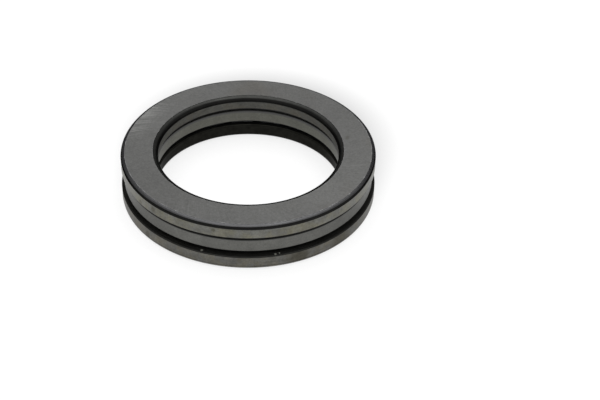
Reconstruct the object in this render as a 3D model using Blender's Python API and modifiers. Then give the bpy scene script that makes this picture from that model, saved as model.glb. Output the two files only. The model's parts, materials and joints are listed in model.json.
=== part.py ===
"""Single-direction thrust ball bearing, 60 mm bore, 85 mm outside, 17 mm high.

From top to bottom: the shaft washer, the cage with its ring of balls, and the
housing washer. The origin is on the bearing's axis, at the housing washer's
bottom face, and +Z points along the axis to the shaft washer.
"""

import math

import bmesh
import bpy
from mathutils import Euler, Vector

MM = 0.001

# The assembled bearing
BEARING_HEIGHT = 17.0 * MM
SHAFT_WASHER_RADIUS = 42.3 * MM
SHAFT_WASHER_BORE_RADIUS = 30.0 * MM
HOUSING_WASHER_RADIUS = 42.5 * MM
HOUSING_WASHER_BORE_RADIUS = 31.0 * MM

# Both washers, which are alike except for their radii
WASHER_THICKNESS = 5.0 * MM
BACK_OUTER_ROUND = 1.3 * MM
BACK_BORE_ROUND = 1.75 * MM
RACE_OUTER_ROUND = 0.35 * MM
RACE_BORE_ROUND = 0.65 * MM

# Balls
BALL_COUNT = 22
BALL_RADIUS = 9.525 / 2 * MM
PITCH_RADIUS = 36.2 * MM
FIRST_BALL_ANGLE = math.radians(6.3)
BALL_HEIGHT = BEARING_HEIGHT / 2
GROOVE_CLEARANCE = 0.3 * MM

# Cage, whose pockets are bored from below and close over the balls at the top
CAGE_RADIUS = 41.5 * MM
CAGE_BORE_RADIUS = 30.86 * MM
CAGE_BOTTOM = 6.6 * MM
CAGE_TOP = 11.05 * MM
CAGE_EDGE_ROUND = 0.25 * MM
POCKET_CLEARANCE = 0.15 * MM
CUT_MARGIN = 1.0 * MM

# Resolution
RING_SEGMENTS = 4 * BALL_COUNT
POCKET_SEGMENTS = 20
BALL_SEGMENTS = 16
BALL_RINGS = 8
MERGE_DISTANCE = 0.005 * MM
SHARP_ANGLE = math.radians(28)


def clear_scene():
    """Remove every object of the scene that the file opened with."""
    for thing in list(bpy.data.objects):
        bpy.data.objects.remove(thing, do_unlink=True)


def new_collection(name):
    """Make a collection in the scene."""
    collection = bpy.data.collections.new(name)
    bpy.context.scene.collection.children.link(collection)
    return collection


def steel(name, colour, roughness):
    """Make a metal material."""
    material = bpy.data.materials.new(name)
    material.use_nodes = True
    shader = material.node_tree.nodes["Principled BSDF"]
    shader.inputs["Base Color"].default_value = (*colour, 1.0)
    shader.inputs["Metallic"].default_value = 1.0
    shader.inputs["Roughness"].default_value = roughness
    return material


def arc(centre_radius, centre_height, radius, start, end, steps):
    """Points along an arc in the radius and height plane, with angles in degrees."""
    points = []
    for step in range(steps + 1):
        angle = math.radians(start + (end - start) * step / steps)
        across = centre_radius + radius * math.cos(angle)
        up = centre_height + radius * math.sin(angle)
        points.append((across, up))
    return points


def new_object(name, mesh, collection):
    """Put a mesh in a collection as a named object."""
    thing = bpy.data.objects.new(name, mesh)
    collection.objects.link(thing)
    return thing


def turned(name, outline, segments, collection, closed=True):
    """Turn an outline about the Z axis.

    The outline runs down its outer side. A closed one makes a ring, and an open
    one starts and ends on the axis.
    """
    vertices = [(across, 0.0, up) for across, up in outline]
    edges = [(index, index + 1) for index in range(len(vertices) - 1)]
    if closed:
        edges.append((len(vertices) - 1, 0))
    mesh = bpy.data.meshes.new(name)
    mesh.from_pydata(vertices, edges, [])
    thing = new_object(name, mesh, collection)
    turn = thing.modifiers.new("turn", "SCREW")
    turn.axis = "Z"
    turn.angle = math.tau
    turn.steps = segments
    turn.render_steps = segments
    turn.use_merge_vertices = True
    turn.merge_threshold = MERGE_DISTANCE
    return thing


def finish(thing, material):
    """Turn an object's modifiers into its mesh, shade it smooth and give it its material."""
    evaluated = thing.evaluated_get(bpy.context.evaluated_depsgraph_get())
    mesh = bpy.data.meshes.new_from_object(evaluated)
    thing.modifiers.clear()
    thing.data = mesh
    mesh.name = thing.name
    mesh.shade_smooth()
    mesh.set_sharp_from_angle(angle=SHARP_ANGLE)
    mesh.materials.clear()
    mesh.materials.append(material)


def washer_outline(outer_radius, bore_radius):
    """Outline of a washer at the top of the bearing, with its groove facing down.

    The back is the face that carries the load in from outside. Its two edges have
    the large rounds, and the groove follows the balls at a small distance.
    """
    race_height = BEARING_HEIGHT - WASHER_THICKNESS
    groove_radius = BALL_RADIUS + GROOVE_CLEARANCE
    groove_edge = math.degrees(math.asin((race_height - BALL_HEIGHT) / groove_radius))

    back_outer = arc(
        outer_radius - BACK_OUTER_ROUND, BEARING_HEIGHT - BACK_OUTER_ROUND,
        BACK_OUTER_ROUND, 90, 0, 3,
    )
    race_outer = arc(
        outer_radius - RACE_OUTER_ROUND, race_height + RACE_OUTER_ROUND,
        RACE_OUTER_ROUND, 0, -90, 1,
    )
    groove = arc(
        PITCH_RADIUS, BALL_HEIGHT,
        groove_radius, groove_edge, 180 - groove_edge, 6,
    )
    race_bore = arc(
        bore_radius + RACE_BORE_ROUND, race_height + RACE_BORE_ROUND,
        RACE_BORE_ROUND, 270, 180, 2,
    )
    back_bore = arc(
        bore_radius + BACK_BORE_ROUND, BEARING_HEIGHT - BACK_BORE_ROUND,
        BACK_BORE_ROUND, 180, 90, 3,
    )
    return back_outer + race_outer + groove + race_bore + back_bore


def upside_down(outline):
    """Mirror an outline in the bearing's middle plane, still running down its outer side."""
    return [(across, BEARING_HEIGHT - up) for across, up in reversed(outline)]


def ball_angles():
    """Angle of each ball about the bearing's axis."""
    return [FIRST_BALL_ANGLE + math.tau * index / BALL_COUNT for index in range(BALL_COUNT)]


def on_pitch_circle(angle):
    """Centre of the ball at an angle about the axis."""
    return Vector((PITCH_RADIUS * math.cos(angle), PITCH_RADIUS * math.sin(angle), BALL_HEIGHT))


def make_shaft_washer(parts, material):
    """Top washer, which turns with the shaft."""
    outline = washer_outline(SHAFT_WASHER_RADIUS, SHAFT_WASHER_BORE_RADIUS)
    finish(turned("shaft_washer", outline, RING_SEGMENTS, parts), material)


def make_housing_washer(parts, material):
    """Bottom washer, which stays in the housing."""
    outline = washer_outline(HOUSING_WASHER_RADIUS, HOUSING_WASHER_BORE_RADIUS)
    finish(turned("housing_washer", upside_down(outline), RING_SEGMENTS, parts), material)


def make_pocket_cutters(cutters):
    """One cutter for each ball: a cylinder from below that ends in a half sphere."""
    radius = BALL_RADIUS + POCKET_CLEARANCE
    depth = BALL_HEIGHT - CAGE_BOTTOM + CUT_MARGIN
    outline = arc(0, 0, radius, 90, 0, 5) + [(radius, -depth), (0, -depth)]
    for number, angle in enumerate(ball_angles(), start=1):
        cutter = turned(f"pocket_{number:02d}", outline, POCKET_SEGMENTS, cutters, closed=False)
        cutter.location = on_pitch_circle(angle)
        cutter.rotation_euler = Euler((0, 0, angle))
        cutter.hide_render = True
        cutter.display_type = "WIRE"


def cage_outline():
    """Section of the cage before its pockets are bored: a rectangle with broken edges."""
    inner = CAGE_BORE_RADIUS + CAGE_EDGE_ROUND
    outer = CAGE_RADIUS - CAGE_EDGE_ROUND
    low = CAGE_BOTTOM + CAGE_EDGE_ROUND
    high = CAGE_TOP - CAGE_EDGE_ROUND
    top_outer = arc(outer, high, CAGE_EDGE_ROUND, 90, 0, 1)
    bottom_outer = arc(outer, low, CAGE_EDGE_ROUND, 0, -90, 1)
    bottom_bore = arc(inner, low, CAGE_EDGE_ROUND, 270, 180, 1)
    top_bore = arc(inner, high, CAGE_EDGE_ROUND, 180, 90, 1)
    return top_outer + bottom_outer + bottom_bore + top_bore


def make_cage(parts, cutters, material):
    """Ring that spaces the balls, with one pocket for each."""
    make_pocket_cutters(cutters)
    cage = turned("cage", cage_outline(), RING_SEGMENTS, parts)
    cage.rotation_euler = Euler((0, 0, FIRST_BALL_ANGLE))
    bore = cage.modifiers.new("pockets", "BOOLEAN")
    bore.operation = "DIFFERENCE"
    bore.solver = "EXACT"
    bore.operand_type = "COLLECTION"
    bore.collection = cutters
    bpy.context.view_layer.update()
    finish(cage, material)


def make_ball_mesh(material):
    """Mesh that all the balls share, with its poles on its own Z axis."""
    shape = bmesh.new()
    bmesh.ops.create_uvsphere(
        shape, u_segments=BALL_SEGMENTS, v_segments=BALL_RINGS, radius=BALL_RADIUS,
    )
    mesh = bpy.data.meshes.new("ball")
    shape.to_mesh(mesh)
    shape.free()
    mesh.shade_smooth()
    mesh.materials.append(material)
    return mesh


def make_balls(parts, material):
    """Balls on the pitch circle, each with its rolling axis pointing outwards."""
    mesh = make_ball_mesh(material)
    for number, angle in enumerate(ball_angles(), start=1):
        ball = new_object(f"ball_{number:02d}", mesh, parts)
        ball.location = on_pitch_circle(angle)
        ball.rotation_euler = Euler((0, math.pi / 2, angle))


def main():
    clear_scene()
    parts = new_collection("thrust_ball_bearing")
    cutters = new_collection("cutters")

    washer_steel = steel("ground_steel", (0.42, 0.42, 0.42), 0.38)
    cage_steel = steel("turned_steel", (0.40, 0.395, 0.38), 0.45)
    ball_steel = steel("polished_steel", (0.62, 0.62, 0.63), 0.08)

    make_shaft_washer(parts, washer_steel)
    make_housing_washer(parts, washer_steel)
    make_cage(parts, cutters, cage_steel)
    make_balls(parts, ball_steel)


main()
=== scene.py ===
"""Looks of the thrust ball bearing: fine rings and balls, steel finishes, light and camera."""

import json
import math

import bmesh
import bpy
from mathutils import Matrix, Vector

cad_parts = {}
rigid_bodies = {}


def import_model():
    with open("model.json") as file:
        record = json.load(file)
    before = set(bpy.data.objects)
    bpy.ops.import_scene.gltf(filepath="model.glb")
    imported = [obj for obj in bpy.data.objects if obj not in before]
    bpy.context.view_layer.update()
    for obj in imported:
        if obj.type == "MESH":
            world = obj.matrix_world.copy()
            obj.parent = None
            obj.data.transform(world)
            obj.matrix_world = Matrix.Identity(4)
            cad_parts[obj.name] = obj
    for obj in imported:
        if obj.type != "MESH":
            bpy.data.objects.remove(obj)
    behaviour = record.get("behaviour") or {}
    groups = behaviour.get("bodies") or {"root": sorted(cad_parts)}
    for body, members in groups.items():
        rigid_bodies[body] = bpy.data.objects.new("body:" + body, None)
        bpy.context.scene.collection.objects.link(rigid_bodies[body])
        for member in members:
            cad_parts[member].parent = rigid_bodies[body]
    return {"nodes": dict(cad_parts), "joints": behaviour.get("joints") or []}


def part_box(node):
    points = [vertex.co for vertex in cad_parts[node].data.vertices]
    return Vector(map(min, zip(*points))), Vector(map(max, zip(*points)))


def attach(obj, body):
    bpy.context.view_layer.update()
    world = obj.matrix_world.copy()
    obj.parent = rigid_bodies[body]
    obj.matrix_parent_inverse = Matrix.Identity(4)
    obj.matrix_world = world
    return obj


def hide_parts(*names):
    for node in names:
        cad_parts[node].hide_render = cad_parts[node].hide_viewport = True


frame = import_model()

MM = 0.001

# Rounds of the washers. The back is the loaded flat face, the race the grooved one.
BACK_OUTER_ROUND = 1.3 * MM
BACK_BORE_ROUND = 1.75 * MM
RACE_OUTER_ROUND = 0.35 * MM
RACE_BORE_ROUND = 0.65 * MM
GROOVE_CLEARANCE = 0.04 * MM

# Cage
CAGE_EDGE_ROUND = 0.25 * MM
CAGE_LOWER_ROUND = 0.15 * MM
POCKET_CLEARANCE = 0.15 * MM
POCKET_EDGE_BREAK = 0.12 * MM
CUT_MARGIN = 1.0 * MM

# Fineness of the meshes
RING_SEGMENTS = 352
POCKET_SEGMENTS = 64
BALL_CUTS = 15
DEGREES_PER_STEP = 6
MERGE_DISTANCE = 0.001 * MM
SHARP_ANGLE = math.radians(30)

# Widths of the borders at the ends of ground and turned stretches: dull on the washers'
# cylinders and grooves, a painted highlight on the ground face, painted shade on the cage
GROUND_BORDER = 0.1 * MM
FACE_BORDER = 0.2 * MM
CLEAN_BORDER = 0.03 * MM
SHADED_BORDER = 1.5 * MM

# Camera, in the bearing's frame
CAMERA_PLACE = Vector((17.65, -353.95, 267.0)) * MM
CAMERA_TILT = math.radians(37.495)
CAMERA_TURN = math.radians(0.022)
CAMERA_ROLL = math.radians(1.494)
CAMERA_LENS = 78.26


# ---------------------------------------------------------------- measures


def mesh_points(node):
    """Corner points of a CAD node."""
    return [vertex.co for vertex in frame["nodes"][node].data.vertices]


def ring_size(node):
    """Bore radius, outer radius, bottom and top of a CAD ring."""
    radii = [math.hypot(point.x, point.y) for point in mesh_points(node)]
    low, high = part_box(node)
    return min(radii), max(radii), low.z, high.z


def ball_joints():
    """Joint of each ball's body, by ball."""
    joints = {joint["child"]: joint for joint in frame["joints"]}
    return {child: joint for child, joint in joints.items() if child.startswith("ball_")}


BALLS = ball_joints()
FIRST_BALL = Vector(BALLS["ball_01"]["pos_m"])
PITCH_RADIUS = math.hypot(FIRST_BALL.x, FIRST_BALL.y)
BALL_HEIGHT = FIRST_BALL.z
BALL_RADIUS = max((point - FIRST_BALL).length for point in mesh_points("ball_01"))


# ---------------------------------------------------------------- meshes


def arc(centre_radius, centre_height, radius, start, end):
    """Points along an arc in the radius and height plane, with angles in degrees."""
    steps = max(2, round(abs(end - start) / DEGREES_PER_STEP))
    points = []
    for step in range(steps + 1):
        angle = math.radians(start + (end - start) * step / steps)
        across = centre_radius + radius * math.cos(angle)
        up = centre_height + radius * math.sin(angle)
        points.append((across, up))
    return points


def straight(start, end, first_border=GROUND_BORDER, last_border=GROUND_BORDER):
    """Ground straight stretch, with points near its ends where the wheel's reach begins."""
    first, last = Vector(start), Vector(end)
    way = (last - first).normalized()
    points = (first, first + way * first_border, last - way * last_border, last)
    return [tuple(point) for point in points]


def turned_mesh(name, sections, materials):
    """Ring turned about Z from sections that follow each other round its outline.

    A section is (finish, points), and its last point is the next one's first. The
    "ground" attribute is 1 inside the sections whose finish is ground, and 0 at
    their borders and everywhere else.
    """
    outline, finishes, ground = [], [], []
    for finish, points in sections:
        inside = finish in GROUND_FINISHES
        for index, point in enumerate(points[:-1]):
            outline.append(point)
            finishes.append(finish)
            ground.append(1.0 if inside and index > 0 else 0.0)
    count = len(outline)
    directions = []
    for segment in range(RING_SEGMENTS):
        angle = math.tau * segment / RING_SEGMENTS
        directions.append((math.cos(angle), math.sin(angle)))
    vertices = [(r * c, r * s, z) for c, s in directions for r, z in outline]
    faces = []
    slots = []
    for segment in range(RING_SEGMENTS):
        here = segment * count
        there = (segment + 1) % RING_SEGMENTS * count
        for index in range(count):
            after = (index + 1) % count
            faces.append((here + index, here + after, there + after, there + index))
            slots.append(finishes[index])
    mesh = bpy.data.meshes.new(name)
    mesh.from_pydata(vertices, [], faces)
    names = list(dict.fromkeys(finish for finish, _ in sections))
    for finish in names:
        mesh.materials.append(materials[finish])
    mesh.polygons.foreach_set("material_index", [names.index(finish) for finish in slots])
    attribute = mesh.attributes.new("ground", "FLOAT", "POINT")
    attribute.data.foreach_set("value", ground * RING_SEGMENTS)
    mesh.shade_smooth()
    mesh.set_sharp_from_angle(angle=SHARP_ANGLE)
    return mesh


def new_piece(name, mesh):
    """Put a mesh in the scene as a named object."""
    thing = bpy.data.objects.new(name, mesh)
    bpy.context.scene.collection.objects.link(thing)
    return thing


def washer_sections(bore, outer, race, back, finishes):
    """Outline of a washer with its groove facing down, from the back's outer round on.

    race and back are the heights of its two faces above the balls' centres. finishes
    names the finish of each stretch that isn't the same on both washers.
    """
    groove_radius = BALL_RADIUS + GROOVE_CLEARANCE
    edge = math.asin(race / groove_radius)
    half_width = groove_radius * math.cos(edge)

    back_outer = arc(outer - BACK_OUTER_ROUND, back - BACK_OUTER_ROUND, BACK_OUTER_ROUND, 90, 0)
    race_outer = arc(outer - RACE_OUTER_ROUND, race + RACE_OUTER_ROUND, RACE_OUTER_ROUND, 0, -90)
    groove = arc(PITCH_RADIUS, 0, groove_radius, math.degrees(edge), 180 - math.degrees(edge))
    race_bore = arc(bore + RACE_BORE_ROUND, race + RACE_BORE_ROUND, RACE_BORE_ROUND, 270, 180)
    back_bore = arc(bore + BACK_BORE_ROUND, back - BACK_BORE_ROUND, BACK_BORE_ROUND, 180, 90)
    outer_shoulder = [race_outer[-1], (PITCH_RADIUS + half_width, race)]
    inner_shoulder = [(PITCH_RADIUS - half_width, race), race_bore[0]]
    return [
        *halved(back_outer, "worn_corner", finishes["back_corner"]),
        (finishes["outer"], straight(back_outer[-1], race_outer[0], FACE_BORDER, FACE_BORDER)),
        ("gap_edge", race_outer),
        ("gap_edge", outer_shoulder),
        ("raceway", groove),
        ("unground", inner_shoulder),
        (finishes["race_corner"], race_bore),
        (finishes["bore"], straight(race_bore[-1], back_bore[0])),
        *halved(back_bore, finishes["bore_edge"], finishes["bore_corner"]),
        ("ground_face", straight(back_bore[-1], back_outer[0], last_border=FACE_BORDER)),
    ]


def halved(points, first_finish, second_finish):
    """Two sections that share the points of an arc."""
    middle = len(points) // 2
    return [(first_finish, points[:middle + 1]), (second_finish, points[middle:])]


def raised(sections, height):
    """Move an outline's sections up."""
    return [(finish, [(r, z + height) for r, z in points]) for finish, points in sections]


def upside_down(sections):
    """Mirror an outline's sections in height, in the order that keeps its faces outwards."""
    mirrored = []
    for finish, points in reversed(sections):
        mirrored.append((finish, [(r, -z) for r, z in reversed(points)]))
    return mirrored


def make_shaft_washer(materials):
    """Top washer: all its cylinders and its back are ground."""
    bore, outer, bottom, top = ring_size("shaft_washer")
    finishes = {
        "back_corner": "black_corner", "outer": "ground_band",
        "race_corner": "unground", "bore": "ground_bore",
        "bore_edge": "black_corner", "bore_corner": "black_round",
    }
    sections = washer_sections(bore, outer, bottom - BALL_HEIGHT, top - BALL_HEIGHT, finishes)
    mesh = turned_mesh("shaft_washer_ring", raised(sections, BALL_HEIGHT), materials)
    return finished_piece(mesh, "shaft_washer")


def make_housing_washer(materials):
    """Bottom washer: it sits in the housing, so its bore is left unground and black."""
    bore, outer, bottom, top = ring_size("housing_washer")
    finishes = {
        "back_corner": "lower_band", "outer": "lower_band",
        "race_corner": "black_bore", "bore": "black_bore",
        "bore_edge": "black_bore", "bore_corner": "black_bore",
    }
    sections = washer_sections(bore, outer, BALL_HEIGHT - top, BALL_HEIGHT - bottom, finishes)
    mesh = turned_mesh("housing_washer_ring", raised(upside_down(sections), BALL_HEIGHT), materials)
    return finished_piece(mesh, "housing_washer")


def finished_piece(mesh, node):
    """Show a fine mesh in place of the CAD node whose body has the same name."""
    piece = new_piece(mesh.name, mesh)
    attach(piece, node)
    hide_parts(node)
    return piece


def cage_sections(bore, outer, bottom, top):
    """Outline of the cage before its pockets are bored."""
    inner, outside = bore + CAGE_EDGE_ROUND, outer - CAGE_EDGE_ROUND
    low, high = bottom + CAGE_EDGE_ROUND, top - CAGE_EDGE_ROUND
    top_outer = arc(outside, high, CAGE_EDGE_ROUND, 90, 0)
    lower = CAGE_LOWER_ROUND
    bottom_outer = arc(outer - lower, bottom + lower, lower, 0, -90)
    bottom_bore = arc(inner, low, CAGE_EDGE_ROUND, 270, 180)
    top_bore = arc(inner, high, CAGE_EDGE_ROUND, 180, 90)
    return [
        ("cage_edge", top_outer),
        ("cage_band", straight(top_outer[-1], bottom_outer[0], FACE_BORDER, CLEAN_BORDER)),
        ("cage_edge", bottom_outer),
        ("cage_side", [bottom_outer[-1], bottom_bore[0]]),
        ("cage_edge", bottom_bore),
        ("cage_bore", straight(bottom_bore[-1], top_bore[0], last_border=SHADED_BORDER)),
        ("cage_edge", top_bore),
        ("cage_side", [top_bore[-1], top_outer[0]]),
    ]


def pocket_outline(bottom, top):
    """Cutter for one pocket, down its outer side from the axis, about the ball's centre.

    It is a cylinder from below that ends in a half sphere, with a small flare where
    it passes each side of the cage.
    """
    radius = BALL_RADIUS + POCKET_CLEARANCE
    lip = math.degrees(math.asin((top - POCKET_EDGE_BREAK) / radius))
    flare = POCKET_EDGE_BREAK + CUT_MARGIN
    flare_top = (radius * math.cos(math.radians(lip)) + flare, top + CUT_MARGIN)
    flare_bottom = (radius + flare, bottom - CUT_MARGIN)
    wall = arc(0, 0, radius, lip, 0)
    wall.append((radius, bottom + POCKET_EDGE_BREAK))
    return [(0, flare_top[1]), flare_top] + wall + [flare_bottom, (0, flare_bottom[1])]


def make_cutter(outline, material):
    """Mesh of one pocket cutter, turned about its own Z axis."""
    profile = bpy.data.meshes.new("pocket_profile")
    points = [(r, 0, z) for r, z in outline]
    profile.from_pydata(points, [(index, index + 1) for index in range(len(points) - 1)], [])
    source = new_piece("pocket_profile", profile)
    turn = source.modifiers.new("turn", "SCREW")
    turn.steps = turn.render_steps = POCKET_SEGMENTS
    turn.use_merge_vertices = True
    turn.merge_threshold = MERGE_DISTANCE
    evaluated = source.evaluated_get(bpy.context.evaluated_depsgraph_get())
    mesh = bpy.data.meshes.new_from_object(evaluated)
    bpy.data.objects.remove(source)
    mesh.materials.clear()
    mesh.materials.append(material)
    return mesh


def make_cage(materials):
    """Cage with a bored pocket for each ball."""
    bore, outer, bottom, top = ring_size("cage")
    mesh = turned_mesh("cage_ring", cage_sections(bore, outer, bottom, top), materials)
    cage = new_piece("cage_ring", mesh)
    cutters = bpy.data.collections.new("pocket_cutters")
    bpy.context.scene.collection.children.link(cutters)
    outline = pocket_outline(bottom - BALL_HEIGHT, top - BALL_HEIGHT)
    cutter_mesh = make_cutter(outline, materials["cage_side"])
    for joint in BALLS.values():
        cutter = bpy.data.objects.new("pocket_cutter", cutter_mesh)
        cutters.objects.link(cutter)
        cutter.location = joint["pos_m"]
    bored = cage.modifiers.new("pockets", "BOOLEAN")
    bored.operand_type = "COLLECTION"
    bored.collection = cutters
    bored.solver = "EXACT"
    bored.material_mode = "TRANSFER"
    bpy.context.view_layer.update()
    evaluated = cage.evaluated_get(bpy.context.evaluated_depsgraph_get())
    mesh = bpy.data.meshes.new_from_object(evaluated)
    for cutter in list(cutters.objects):
        bpy.data.objects.remove(cutter)
    bpy.data.collections.remove(cutters)
    bpy.data.objects.remove(cage)
    mesh.name = "cage_ring"
    mesh.shade_smooth()
    mesh.set_sharp_from_angle(angle=SHARP_ANGLE)
    return finished_piece(mesh, "cage")


def make_ball_mesh(material):
    """Ball with evenly spread faces: a cut cube drawn out to a sphere."""
    shape = bmesh.new()
    bmesh.ops.create_cube(shape, size=2.0)
    bmesh.ops.subdivide_edges(shape, edges=shape.edges[:], cuts=BALL_CUTS, use_grid_fill=True)
    for vertex in shape.verts:
        spread = Vector([math.tan(math.pi / 4 * part) for part in vertex.co])
        vertex.co = spread.normalized() * BALL_RADIUS
    mesh = bpy.data.meshes.new("ball")
    shape.to_mesh(mesh)
    shape.free()
    mesh.shade_smooth()
    mesh.materials.append(material)
    return mesh


def make_balls(materials):
    """Balls at the places of their joints."""
    mesh = make_ball_mesh(materials["ball"])
    for node, joint in BALLS.items():
        ball = new_piece(f"{node}_sphere", mesh)
        ball.location = joint["pos_m"]
        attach(ball, node)
        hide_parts(node)


# ---------------------------------------------------------------- finishes


class Nodes:
    """A node tree, with a short call for each kind of node that is used here.

    An input is a number, a tuple or another node's output.
    """

    def __init__(self, tree):
        self.tree = tree

    def feed(self, socket, value):
        """Link an output to an input, or set the input's value."""
        if isinstance(value, bpy.types.NodeSocket):
            self.tree.links.new(value, socket)
        else:
            socket.default_value = value

    def add(self, kind, inputs=(), **settings):
        """Add a node. inputs are in the order of the node's own."""
        node = self.tree.nodes.new("ShaderNode" + kind)
        for name, value in settings.items():
            setattr(node, name, value)
        for socket, value in zip(node.inputs, inputs):
            self.feed(socket, value)
        return node

    def math(self, operation, *values):
        return self.add("Math", values, operation=operation).outputs[0]

    def plus(self, *values):
        total = values[0]
        for value in values[1:]:
            total = self.math("ADD", total, value)
        return total

    def times(self, *values):
        product = values[0]
        for value in values[1:]:
            product = self.math("MULTIPLY", product, value)
        return product

    def fade(self, value, low, high, at_low=0.0, at_high=1.0):
        """Smooth change from at_low to at_high as value goes from low to high."""
        inputs = (value, low, high, at_low, at_high)
        return self.add("MapRange", inputs, interpolation_type="SMOOTHSTEP").outputs[0]

    def blend(self, factor, first, second):
        """Mix two numbers."""
        node = self.add("Mix", data_type="FLOAT")
        for index, value in ((0, factor), (2, first), (3, second)):
            self.feed(node.inputs[index], value)
        return node.outputs[0]

    def blend_colour(self, factor, first, second):
        """Mix two colours."""
        node = self.add("Mix", data_type="RGBA")
        for index, value in ((0, factor), (6, first), (7, second)):
            self.feed(node.inputs[index], value)
        return node.outputs[2]

    def scaled(self, vector, factor):
        """Multiply a vector or a colour by a number."""
        node = self.add("VectorMath", operation="SCALE")
        self.feed(node.inputs[0], vector)
        self.feed(node.inputs["Scale"], factor)
        return node.outputs[0]

    def vector(self, x, y, z):
        return self.add("CombineXYZ", (x, y, z)).outputs[0]

    def split(self, vector):
        return self.add("SeparateXYZ", (vector,)).outputs[:3]

    def noise(self, vector, scale, detail=2.0, roughness=0.5):
        """Noise from 0 to 1, around a half."""
        node = self.add("TexNoise")
        inputs = {"Vector": vector, "Scale": scale, "Detail": detail, "Roughness": roughness}
        for name, value in inputs.items():
            self.feed(node.inputs[name], value)
        return node.outputs[0]

    def cells(self, vector, scale):
        """Distance to the nearest of a scatter of points, and that point's random number."""
        node = self.add("TexVoronoi")
        self.feed(node.inputs["Vector"], vector)
        self.feed(node.inputs["Scale"], scale)
        return node.outputs["Distance"], self.split(node.outputs["Color"])[0]


class Finish(Nodes):
    """A material, with the places on a turned piece that its patterns follow."""

    def __init__(self, name):
        self.material = bpy.data.materials.new(name)
        self.material.use_nodes = True
        super().__init__(self.material.node_tree)
        self.shader = self.tree.nodes["Principled BSDF"]
        self.place = self.add("TexCoord").outputs["Object"]

    def set(self, **inputs):
        """Set the shader's inputs, named with underscores."""
        for name, value in inputs.items():
            label = name.replace("_", " ").title().replace("Ior", "IOR")
            self.feed(self.shader.inputs[label], value)

    def polar(self):
        """Radius, height and direction from the axis."""
        x, y, z = self.split(self.place)
        flat = self.vector(x, y, 0.0)
        radius = self.add("VectorMath", (flat,), operation="LENGTH").outputs["Value"]
        direction = self.add("VectorMath", (flat,), operation="NORMALIZE").outputs[0]
        return radius, z, direction

    def sector(self, azimuth, inside, outside):
        """1 within an angle of an azimuth and 0 beyond a wider one. Azimuth 0 is -Y, 90 is +X."""
        _, _, direction = self.polar()
        turn = math.radians(azimuth)
        middle = Vector((math.sin(turn), -math.cos(turn), 0))
        near = self.add("VectorMath", (direction, middle), operation="DOT_PRODUCT").outputs["Value"]
        return self.fade(near, math.cos(math.radians(outside)), math.cos(math.radians(inside)))

    def rings(self, along, pitch, detail=2.0):
        """Fine marks that run round the axis, about along of them to the turn and pitch apart."""
        radius, height, direction = self.polar()
        across = self.times(self.plus(radius, height), 1 / pitch)
        x, y, _ = self.split(self.scaled(direction, along))
        return self.noise(self.vector(x, y, across), 1.0, detail)

    def spokes(self, pitch, length, sweep):
        """Fine marks that cross a face from bore to rim, bent by sweep radians a metre."""
        radius, _, direction = self.polar()
        bend = self.add("VectorRotate", rotation_type="Z_AXIS")
        self.feed(bend.inputs["Vector"], direction)
        self.feed(bend.inputs["Angle"], self.times(radius, sweep))
        x, y, _ = self.split(self.scaled(bend.outputs[0], PITCH_RADIUS / pitch))
        return self.noise(self.vector(x, y, self.times(radius, 1 / length)), 1.0, 3.0)

    def scratches(self, length, width, angle, share):
        """Sparse thin lines at an angle, 1 on a line and 0 elsewhere."""
        turn = self.add("VectorRotate", rotation_type="Z_AXIS")
        self.feed(turn.inputs["Vector"], self.place)
        self.feed(turn.inputs["Angle"], angle)
        x, y, z = self.split(turn.outputs[0])
        across, up = self.times(y, 1 / width), self.times(z, 1 / width)
        stretched = self.vector(self.times(x, 1 / length), across, up)
        distance, chance = self.cells(stretched, 0.1)
        line = self.fade(distance, 0.02, 0.07, 1.0, 0.0)
        chosen = self.math("LESS_THAN", chance, share)
        return self.times(line, chosen)

    def specks(self, spacing, size, share):
        """Sparse round specks, 1 on a speck and 0 elsewhere."""
        distance, chance = self.cells(self.place, 1 / spacing)
        spot = self.fade(distance, 0.5 * size / spacing, size / spacing, 1.0, 0.0)
        chosen = self.math("LESS_THAN", chance, share)
        return self.times(spot, chosen)

    def patch(self, centre, length, width, angle):
        """Soft uneven patch on a flat face, 1 in its middle, with its length at an angle to X."""
        shift = self.add("VectorMath", (self.place, centre), operation="SUBTRACT").outputs[0]
        turn = self.add("VectorRotate", rotation_type="Z_AXIS")
        self.feed(turn.inputs["Vector"], shift)
        self.feed(turn.inputs["Angle"], -angle)
        x, y, _ = self.split(turn.outputs[0])
        flat = self.vector(self.times(x, 2 / length), self.times(y, 2 / width), 0.0)
        distance = self.add("VectorMath", (flat,), operation="LENGTH").outputs["Value"]
        return self.uneven_spot(distance, length)

    def ball_patch(self, centre, width):
        """Soft uneven patch of a width, wherever the surface passes near a centre."""
        distance = self.times(self.distance_to(centre), 2 / width)
        return self.uneven_spot(distance, width / 2)

    def distance_to(self, centre):
        node = self.add("VectorMath", (self.place, centre), operation="DISTANCE")
        return node.outputs["Value"]

    def uneven_spot(self, distance, size):
        """1 where a distance is small and 0 past about 1, with a ragged edge."""
        uneven = self.noise(self.place, 1.2 / size, 3.0, 0.6)
        return self.fade(self.plus(distance, uneven), 0.75, 1.6, 1.0, 0.0)

    def bump(self, height, distance, strength):
        """Feed the shader's normal from a height between 0 and 1."""
        node = self.add("Bump")
        self.feed(node.inputs["Height"], height)
        node.inputs["Distance"].default_value = distance
        node.inputs["Strength"].default_value = strength
        self.feed(self.shader.inputs["Normal"], node.outputs[0])


GROUND_FINISHES = (
    "ground_face", "ground_band", "lower_band", "ground_bore", "raceway", "cage_band", "cage_bore",
)

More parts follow.
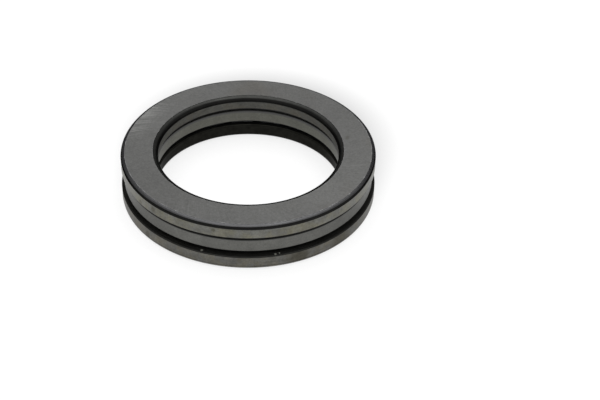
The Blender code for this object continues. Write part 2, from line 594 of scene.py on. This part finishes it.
# Colours
FACE_STEEL = (0.108, 0.108, 0.105, 1.0)
STAINED_STEEL = (0.100, 0.097, 0.090, 1.0)
# Painted highlight: the pale line along the ground face's rim and bore edge
RIM_HIGHLIGHT_STEEL = (0.14, 0.14, 0.142)
UNGROUND_STEEL = (0.028, 0.028, 0.027, 1.0)
RACE_STEEL = (0.17, 0.17, 0.166, 1.0)
TRACK_STEEL = (0.22, 0.22, 0.216, 1.0)
# Painted shade where the cage's cylinders meet the washers
CAGE_SHADE_STEEL = (0.08, 0.08, 0.078, 1.0)
BALL_STEEL = (0.20, 0.20, 0.205, 1.0)
OILY_BALL_STEEL = (0.17, 0.165, 0.15, 1.0)
# Painted highlight: the pale spots that stand for glints in the gap
PAINTED_GLINT = (0.17, 0.17, 0.15, 1.0)

# How the surfaces take the light. A grazing value is the share kept at a low angle.
GRAZING_SCALE = 0.24
CAGE_GRAZING = 0.84
UNGROUND_ROUGHNESS = 0.24
MARK_DEPTH = 0.006 * MM

# Marks and painted light round the bearing, in degrees: azimuth 0 is -Y and 90 is +X. The
# grinding arcs bend by their sweep, in radians a metre of radius.
GRINDING_SWEEP = -14.0
# Painted highlight: the sector of the rim where glare is painted on the grinding arcs
GLARE_AZIMUTH = -112
# Painted shade on one sector of the ground face and painted light on another
SHADED_FACE_AZIMUTH = -68
LIT_FACE_AZIMUTH = 172
# Painted shade on sectors of the cage's outer band
SHADED_CAGE_AZIMUTHS = (-53, 58)


def spots(*rows):
    """Centres and widths of round marks, from rows of x, y, z and width in millimetres."""
    return [(Vector(row[:3]) * MM, row[3] * MM) for row in rows]


UPPER_STAINS = spots((-28.5, -31.1, 14.0, 3.0), (-33.0, -26.3, 13.2, 2.2), (-9.0, -41.3, 14.6, 1.8))
LOWER_STAINS = spots(
    (17.5, -38.7, 2.2, 11.0), (31.0, -29.1, 2.2, 10.0),
    (3.8, -42.3, 0.9, 2.2), (-31.0, -29.1, 2.4, 3.5),
)
# Painted highlights in the gap under the cage
GAP_GLINTS = spots((-12.88, -39.56, 5.0, 1.1), (10.27, -40.52, 5.0, 1.1), (11.50, -39.98, 5.0, 0.7))


def around_one(finish, pattern, strength):
    """Turn a noise around a half into a factor around one."""
    return finish.plus(finish.times(pattern, strength), 1.0 - strength / 2)


def ground_mask(finish, raggedness):
    """1 where the wheel reached, and 0 past its slightly uneven border."""
    attribute = finish.add("Attribute", attribute_name="ground")
    uneven = finish.noise(finish.place, 900.0, 3.0)
    ragged = finish.times(uneven, raggedness)
    border = finish.plus(attribute.outputs["Fac"], ragged, -raggedness / 2)
    return finish.fade(border, 0.25, 0.6)


def radial_tangent(finish):
    """Tangent that runs round the axis."""
    return finish.add("Tangent", direction_type="RADIAL", axis="Z").outputs[0]


def painted_glare_arcs(finish, arcs):
    """Painted highlight: part of the rim where glare lightens the grinding arcs."""
    radius, _, _ = finish.polar()
    sector = finish.sector(GLARE_AZIMUTH, 4, 24)
    rim = finish.fade(radius, 33.5 * MM, 40.5 * MM)
    return finish.times(sector, rim, finish.fade(arcs, 0.44, 0.64, 0.05, 1.0))


def ground_face():
    """Loaded flat face: grinding arcs from bore to rim over finer rings."""
    finish = Finish("ground_face")
    arcs = finish.spokes(0.42 * MM, 9 * MM, GRINDING_SWEEP)
    broad_arcs = finish.spokes(2.4 * MM, 14 * MM, GRINDING_SWEEP)
    rings = finish.rings(5.0, 0.16 * MM)
    grain = finish.noise(finish.place, 1500.0, 3.0, 0.75)
    cloud = finish.noise(finish.place, 75.0, 3.0)
    stain = finish.fade(finish.noise(finish.place, 42.0, 2.0), 0.60, 0.76)
    specks = finish.specks(9 * MM, 0.28 * MM, 0.30)
    scratches = finish.scratches(5 * MM, 0.5 * MM, 0.35, 0.35)
    smudge = finish.patch(Vector((32.9, 7.1, 0)) * MM, 3.6 * MM, 2.0 * MM, 1.2)
    rub = finish.patch(Vector((35.0, -8.8, 0)) * MM, 8.0 * MM, 0.5 * MM, 0.19)
    glare = painted_glare_arcs(finish, arcs)
    mask = ground_mask(finish, 0.3)
    # Painted highlight: pale borders on the face, broken into glints
    glint_breaks = finish.fade(finish.noise(finish.place, 420.0, 2.0), 0.46, 0.62)
    edge = finish.scaled(RIM_HIGHLIGHT_STEEL, finish.blend(glint_breaks, 0.9, 2.3))

    value = finish.times(
        around_one(finish, arcs, 0.30),
        around_one(finish, rings, 0.12),
        around_one(finish, grain, 0.95),
        around_one(finish, cloud, 0.22),
        finish.fade(specks, 0.0, 1.0, 1.0, 0.45),
        finish.fade(scratches, 0.0, 1.0, 1.0, 1.22),
        finish.fade(smudge, 0.0, 1.0, 1.0, 0.84),
        finish.fade(rub, 0.0, 1.0, 1.0, 1.16),
        # painted highlight: glare over the rim's grinding arcs
        finish.plus(finish.times(glare, 0.68), 1.0),
        # painted shade on the front left sector and painted light on the back
        finish.blend(finish.sector(SHADED_FACE_AZIMUTH, 22, 46), 1.0, 0.86),
        finish.blend(finish.sector(LIT_FACE_AZIMUTH, 25, 50), 1.0, 1.08),
    )
    brown = finish.math("MAXIMUM", stain, smudge)
    steel = finish.blend_colour(brown, FACE_STEEL, STAINED_STEEL)
    rough = finish.plus(
        0.28,
        finish.times(arcs, 0.10),
        finish.times(broad_arcs, 0.10),
        finish.times(cloud, 0.06),
    )
    finish.set(
        base_color=finish.blend_colour(mask, edge, finish.scaled(steel, value)),
        metallic=1.0,
        roughness=rough,
        anisotropic=0.25,
        anisotropic_rotation=0.05,
        tangent=radial_tangent(finish),
    )
    grinding = finish.plus(finish.times(arcs, 0.6), finish.times(rings, 0.3))
    finish.bump(finish.plus(grinding, finish.times(scratches, -0.5)), MARK_DEPTH, 0.5)
    return finish.material


def ground_cylinder(name, clean, oily, grazing, stains=()):
    """Ground cylinder: rings round the axis, with warm patches of old oil.

    grazing is how much of its light the rim of the cylinder keeps. A stain is
    (centre, width), and lies across the cylinder near that centre.
    """
    finish = Finish(name)
    rings = finish.rings(7.0, 0.11 * MM)
    broad_rings = finish.rings(3.0, 0.7 * MM)
    grain = finish.noise(finish.place, 1700.0, 3.0, 0.7)
    cloud = finish.noise(finish.place, 260.0, 4.0, 0.65)
    patches = finish.fade(finish.noise(finish.place, 250.0, 4.0, 0.65), 0.36, 0.66)
    specks = finish.specks(5 * MM, 0.22 * MM, 0.25)
    mask = ground_mask(finish, 0.5)
    stained = 0.0
    for centre, width in stains:
        stained = finish.math("MAXIMUM", stained, finish.ball_patch(centre, width))

    value = finish.times(
        around_one(finish, rings, 0.30),
        around_one(finish, broad_rings, 0.26),
        around_one(finish, grain, 1.00),
        around_one(finish, cloud, 1.10),
        finish.fade(specks, 0.0, 1.0, 1.0, 0.5),
        finish.fade(stained, 0.0, 1.0, 1.0, 0.66),
    )
    oiled = finish.math("MAXIMUM", patches, stained)
    steel = finish.scaled(finish.blend_colour(oiled, clean, oily), value)
    rough = finish.plus(0.30, finish.times(rings, 0.10), finish.times(cloud, 0.12))
    finish.set(
        base_color=finish.blend_colour(mask, UNGROUND_STEEL, steel),
        metallic=1.0,
        specular_tint=(grazing, grazing, grazing, 1.0),
        roughness=finish.blend(mask, UNGROUND_ROUGHNESS, rough),
        anisotropic=0.45,
        anisotropic_rotation=0.25,
        tangent=radial_tangent(finish),
    )
    finish.bump(finish.plus(finish.times(rings, 0.7), finish.times(cloud, 0.3)), MARK_DEPTH, 0.5)
    return finish.material


def unground(
    name, colour, roughness, metallic=0.8, mottling=0.50, grazing=GRAZING_SCALE, sides=1.0, glints=(),
):
    """Turned and hardened steel that no wheel has reached: dark, with turning marks.

    grazing is how much of its light it keeps when seen at a low angle, and sides is
    how bright it is at the bearing's sides, next to its front: painted shade. Each glint
    is a painted highlight, a pale spot given as (centre, width).
    """
    finish = Finish(name)
    rings = finish.rings(4.0, 0.18 * MM)
    scale = finish.noise(finish.place, 700.0, 4.0, 0.6)
    cloud = finish.noise(finish.place, 130.0, 2.0)
    value = finish.times(
        around_one(finish, rings, 0.35),
        around_one(finish, scale, mottling),
        around_one(finish, cloud, 0.40),
    )
    # Painted shade: darker at the bearing's sides and back than where it faces -Y
    if sides != 1.0:
        _, _, direction = finish.polar()
        _, back, _ = finish.split(direction)
        value = finish.times(value, finish.fade(back, -0.90, -0.15, 1.0, sides))
    colour = finish.scaled(colour, value)
    # painted highlight: pale non-metal spots
    for centre, width in glints:
        glint = finish.ball_patch(centre, width)
        colour = finish.blend_colour(glint, colour, PAINTED_GLINT)
        metallic = finish.blend(glint, metallic, 0.0)
    finish.set(
        base_color=colour,
        metallic=metallic,
        specular_ior_level=0.0,
        specular_tint=(grazing, grazing, grazing, 1.0),
        roughness=finish.plus(roughness, finish.times(scale, 0.10), finish.times(rings, 0.06)),
    )
    finish.bump(finish.plus(finish.times(rings, 0.6), finish.times(scale, 0.4)), MARK_DEPTH, 0.5)
    return finish.material


def raceway():
    """Ball groove: honed bright, with a slightly brighter running track."""
    finish = Finish("raceway_steel")
    radius, _, _ = finish.polar()
    away = finish.math("ABSOLUTE", finish.plus(radius, -PITCH_RADIUS))
    track = finish.fade(away, 0.6 * MM, 1.4 * MM, 1.0, 0.0)
    rings = finish.rings(9.0, 0.07 * MM)
    cloud = finish.noise(finish.place, 210.0, 3.0)
    mask = ground_mask(finish, 0.4)
    value = finish.times(around_one(finish, rings, 0.12), around_one(finish, cloud, 0.10))
    steel = finish.blend_colour(track, RACE_STEEL, TRACK_STEEL)
    rough = finish.plus(finish.blend(track, 0.20, 0.12), finish.times(rings, 0.06))
    finish.set(
        base_color=finish.blend_colour(mask, UNGROUND_STEEL, finish.scaled(steel, value)),
        metallic=1.0,
        roughness=finish.blend(mask, UNGROUND_ROUGHNESS, rough),
    )
    finish.bump(rings, 0.002 * MM, 0.5)
    return finish.material


def cage_cylinder(name, colour, shaded_azimuths=()):
    """Cage's outer or bore cylinder: finish turned, with even tool marks.

    The azimuths passed in mark sectors where painted shade darkens the steel.
    """
    finish = Finish(name)
    tool_marks = finish.rings(2.0, 0.22 * MM, 1.0)
    rings = finish.rings(9.0, 0.08 * MM)
    grain = finish.noise(finish.place, 1900.0, 3.0, 0.7)
    cloud = finish.noise(finish.place, 190.0, 4.0, 0.6)
    mask = ground_mask(finish, 0.3)
    value = finish.times(
        around_one(finish, tool_marks, 0.30),
        around_one(finish, rings, 0.22),
        around_one(finish, grain, 0.85),
        around_one(finish, cloud, 0.66),
    )
    for azimuth in shaded_azimuths:
        value = finish.times(value, finish.blend(finish.sector(azimuth, 8, 25), 1.0, 0.85))
    finish.set(
        # painted shade at the cage's borders
        base_color=finish.blend_colour(mask, CAGE_SHADE_STEEL, finish.scaled(colour, value)),
        metallic=1.0,
        specular_tint=(CAGE_GRAZING, CAGE_GRAZING, CAGE_GRAZING, 1.0),
        roughness=finish.plus(0.30, finish.times(tool_marks, 0.10), finish.times(cloud, 0.08)),
        anisotropic=0.45,
        anisotropic_rotation=0.25,
        tangent=radial_tangent(finish),
    )
    marks = finish.plus(finish.times(tool_marks, 0.7), finish.times(rings, 0.3))
    finish.bump(marks, MARK_DEPTH, 0.5)
    return finish.material


def cage_inside(name, brightness, roughness, grazing=GRAZING_SCALE):
    """Cage's edges, sides and pockets: plain turned and bored steel with a film of oil."""
    finish = Finish(name)
    rings = finish.rings(4.0, 0.14 * MM)
    grain = finish.noise(finish.place, 1500.0, 3.0, 0.6)
    value = finish.times(
        around_one(finish, rings, 0.25),
        around_one(finish, grain, 0.30),
    )
    colour = finish.scaled((brightness, brightness, 0.97 * brightness), value)
    finish.set(
        base_color=colour,
        metallic=0.75,
        specular_ior_level=0.0,
        specular_tint=(grazing, grazing, grazing, 1.0),
        roughness=finish.plus(roughness, finish.times(grain, 0.12)),
    )
    finish.bump(rings, 0.005 * MM, 0.4)
    return finish.material


def ball_finish():
    """Lapped and polished ball: almost a mirror, with hairlines and a trace of oil."""
    finish = Finish("ball_steel")
    chance = finish.add("ObjectInfo").outputs["Random"]
    shift = finish.vector(chance, 0.0, 0.0)
    finish.place = finish.add("VectorMath", (finish.place, shift), operation="ADD").outputs[0]
    oil = finish.fade(finish.noise(finish.place, 330.0, 3.0), 0.45, 0.70)
    haze = finish.noise(finish.place, 900.0, 2.0)
    hairline = finish.math("MAXIMUM",
        finish.scratches(2.5 * MM, 0.12 * MM, 0.4, 0.25),
        finish.scratches(2.0 * MM, 0.12 * MM, 1.9, 0.20),
    )
    colour = finish.blend_colour(oil, BALL_STEEL, OILY_BALL_STEEL)
    finish.set(
        base_color=finish.scaled(colour, around_one(finish, haze, 0.06)),
        metallic=1.0,
        roughness=finish.plus(0.045, finish.times(oil, 0.06), finish.times(hairline, 0.20)),
    )
    finish.bump(hairline, 0.0006 * MM, 0.3)
    return finish.material


def make_materials():
    """All the steel finishes, by the name that the outlines use."""
    return {
        "ground_face": ground_face(),
        "ground_band": ground_cylinder(
            "ground_band", clean=(0.137, 0.137, 0.126, 1), oily=(0.139, 0.134, 0.105, 1),
            grazing=0.95, stains=UPPER_STAINS,
        ),
        # The lower washer's band is darker than the upper one's: painted shade near the floor
        "lower_band": ground_cylinder(
            "lower_band", clean=(0.118, 0.117, 0.109, 1), oily=(0.115, 0.108, 0.088, 1),
            grazing=0.80, stains=LOWER_STAINS,
        ),
        # Darker than the outer band: painted shade inside the bore
        "ground_bore": ground_cylinder(
            "ground_bore", clean=(0.082, 0.082, 0.075, 1), oily=(0.080, 0.077, 0.066, 1), grazing=0.62,
        ),
        "unground": unground("unground_steel", (0.032, 0.032, 0.032), 0.22),
        # Worn half of the washers' outer back rounds, with painted shade towards the sides
        "worn_corner": unground(
            "worn_corner", (0.060, 0.060, 0.0615), 0.20, grazing=0.40, sides=0.55,
        ),
        "gap_edge": unground(
            "gap_edge", (0.018, 0.018, 0.0165), 0.22, metallic=0.55, grazing=0.16, glints=GAP_GLINTS,
        ),
        # Black oxide on the lower halves of the rounds, made darker still as painted shade
        "black_corner": unground("black_corner", (0.0125, 0.0125, 0.0120), 0.16, grazing=0.25),
        "black_round": unground("black_round", (0.0250, 0.0253, 0.0240), 0.16),
        "black_bore": unground(
            "black_bore", (0.0121, 0.0119, 0.0101), 0.24, mottling=1.6, grazing=0.60,
        ),
        "raceway": raceway(),
        "cage_band": cage_cylinder("cage_band", (0.120, 0.120, 0.112), SHADED_CAGE_AZIMUTHS),
        "cage_bore": cage_cylinder("cage_bore", (0.108, 0.108, 0.094)),
        # Cage edges darker than its sides: painted shade in the seams next to the washers
        "cage_edge": cage_inside("cage_edge", 0.042, 0.30),
        "cage_side": cage_inside("cage_side", 0.12, 0.36),
        "ball": ball_finish(),
    }


# ---------------------------------------------------------------- studio


FLOOR_HALF_WIDTH = 3.0
FLOOR_DROP = 0.02 * MM
FLOOR_GLOW = 0.76
FLOOR_SHADE = 0.20
SHADOW_CENTRE = Vector((2.0, 28.5, 0.0)) * MM
SHADOW_INNER, SHADOW_OUTER = 22 * MM, 58 * MM
SHADOW_STRENGTH = 0.74
LIT_BORE, SHADED_RIM = 36 * MM, 41 * MM

# Brightness of the studio, and where its parts fade into each other: lifts in degrees
# from the back horizon up and over to the front, and the rest as x, y or z of a direction
CEILING_LIGHT = 2.5
BACK_LIGHT = 0.74
FRONT_LIGHT = 0.85
HORIZON_LIGHT = 0.85
CEILING_BACK_EDGE = (41, 54)
CEILING_FRONT_EDGE = (95, 150)
CEILING_MIDDLE = -0.02
CEILING_SIDE_EDGE = (0.15, 0.70)
CEILING_RISE = (0.35, 0.85)
HORIZON_EDGE = (0.02, 0.16)
FRONT_TO_BACK = (-0.5, 0.6)


def soft_shadow(finish):
    """Shade on the floor behind the bearing, 1 where it is darkest. The bore lets light through."""
    shade = finish.fade(finish.distance_to(SHADOW_CENTRE), SHADOW_INNER, SHADOW_OUTER, 1.0, 0.0)
    radius, _, _ = finish.polar()
    return finish.times(shade, finish.fade(radius, LIT_BORE, SHADED_RIM))


def make_floor():
    """Pale light table that the bearing rests on: its own glow keeps the shadows faint."""
    half = FLOOR_HALF_WIDTH
    mesh = bpy.data.meshes.new("floor")
    corners = [(-half, -half, 0), (half, -half, 0), (half, half, 0), (-half, half, 0)]
    mesh.from_pydata(corners, [], [(0, 1, 2, 3)])
    floor = new_piece("floor", mesh)
    floor.location.z = -FLOOR_DROP
    finish = Finish("pale_floor")
    cloud = finish.noise(finish.place, 6.0, 2.0)
    shade = finish.times(around_one(finish, cloud, 0.02), FLOOR_SHADE)
    dimming = finish.blend(soft_shadow(finish), 1.0, 1.0 - SHADOW_STRENGTH)
    finish.set(
        base_color=finish.scaled((1.0, 1.0, 1.0), shade),
        roughness=0.9,
        specular_ior_level=0.1,
        emission_color=(1.0, 1.0, 1.0, 1.0),
        emission_strength=finish.times(dimming, FLOOR_GLOW),
    )
    mesh.materials.append(finish.material)


def make_world():
    """Soft studio: bright ceiling that starts high at the back and fades towards the camera."""
    world = bpy.data.worlds.new("studio")
    bpy.context.scene.world = world
    world.use_nodes = True
    nodes = Nodes(world.node_tree)
    x, y, z = nodes.split(nodes.add("TexCoord").outputs["Generated"])
    lift = nodes.math("ARCTAN2", z, y)
    back_start, back_end = (math.radians(angle) for angle in CEILING_BACK_EDGE)
    front_start, front_end = (math.radians(angle) for angle in CEILING_FRONT_EDGE)
    aside = nodes.math("ABSOLUTE", nodes.plus(x, -CEILING_MIDDLE))
    ceiling = nodes.times(
        nodes.fade(lift, back_start, back_end),
        nodes.fade(lift, front_start, front_end, 1.0, 0.0),
        nodes.fade(aside, *CEILING_SIDE_EDGE, 1.0, 0.0),
        nodes.fade(z, *CEILING_RISE),
        CEILING_LIGHT,
    )
    wall = nodes.blend(nodes.fade(y, *FRONT_TO_BACK), FRONT_LIGHT, BACK_LIGHT)
    walls = nodes.blend(nodes.fade(z, *HORIZON_EDGE), HORIZON_LIGHT, wall)
    background = world.node_tree.nodes["Background"]
    background.inputs["Color"].default_value = (1.0, 1.0, 1.0, 1.0)
    nodes.feed(background.inputs["Strength"], nodes.plus(walls, ceiling))


def make_lamp(name, azimuth, elevation, distance, size, power):
    """Square soft lamp that faces the bearing. Azimuth is from +Y towards +X, in degrees."""
    lamp = bpy.data.lights.new(name, "AREA")
    lamp.size = size
    lamp.energy = power
    holder = bpy.data.objects.new(name, lamp)
    bpy.context.scene.collection.objects.link(holder)
    turn, lift = math.radians(azimuth), math.radians(elevation)
    across = Vector((math.sin(turn), math.cos(turn), 0)) * math.cos(lift)
    direction = across + Vector((0, 0, math.sin(lift)))
    holder.location = direction * distance
    holder.rotation_euler = direction.to_track_quat("Z", "Y").to_euler()


def make_lights():
    """Small lamp on each side of the ceiling."""
    make_lamp("lamp_left", azimuth=-70, elevation=78, distance=1.2, size=0.12, power=0.03)
    make_lamp("lamp_right", azimuth=75, elevation=76, distance=1.2, size=0.12, power=0.5)


def make_camera():
    """Camera at the viewing angle of the reference view."""
    camera = bpy.data.objects.new("camera", bpy.data.cameras.new("camera"))
    bpy.context.scene.collection.objects.link(camera)
    camera.data.lens = CAMERA_LENS
    camera.data.clip_start = 0.01
    turn = Matrix.Rotation(CAMERA_TURN, 4, "Z")
    tilt = Matrix.Rotation(math.pi / 2 - CAMERA_TILT, 4, "X")
    roll = Matrix.Rotation(CAMERA_ROLL, 4, "Z")
    camera.matrix_world = Matrix.Translation(CAMERA_PLACE) @ turn @ tilt @ roll
    bpy.context.scene.camera = camera


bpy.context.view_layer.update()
make_camera()
materials = make_materials()
make_shaft_washer(materials)
make_housing_washer(materials)
make_cage(materials)
make_balls(materials)
make_floor()
make_world()
make_lights()
bpy.context.scene.view_settings.view_transform = "Standard"
